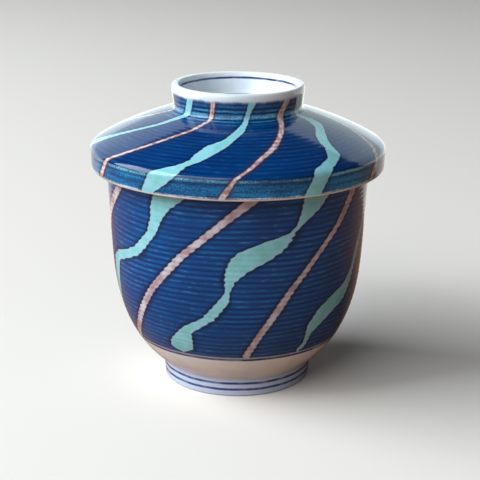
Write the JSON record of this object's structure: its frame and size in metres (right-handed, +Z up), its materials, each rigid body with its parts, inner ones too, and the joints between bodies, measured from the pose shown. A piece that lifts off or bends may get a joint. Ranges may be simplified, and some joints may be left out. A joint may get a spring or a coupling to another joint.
{
  "type": "lidded rice bowl",
  "caption": "Deep footed porcelain rice bowl with an umbrella-shaped lid whose ring is its handle; combed blue glaze with mint and pink streaks.",
  "frame": {"origin": "centre of the circle that the bowl's foot stands on", "axes": "+Z up along the axis both pieces are turned about; -Y towards the side that the picture shows, +X to its right"},
  "size_m": [0.1106, 0.1106, 0.1143],
  "materials": {
    "bowl_glaze": "glossy",
    "lid_glaze": "glossy"
  },
  "bodies": {
    "bowl": {"bowl": "bowl_glaze"},
    "lid": {"lid": "lid_glaze"}
  },
  "joints": [
    {"name": "lid_lift", "type": "slide", "parent": "bowl", "child": "lid", "axis": [0, 0, 1], "range_m": [0, 0.1]}
  ]
}
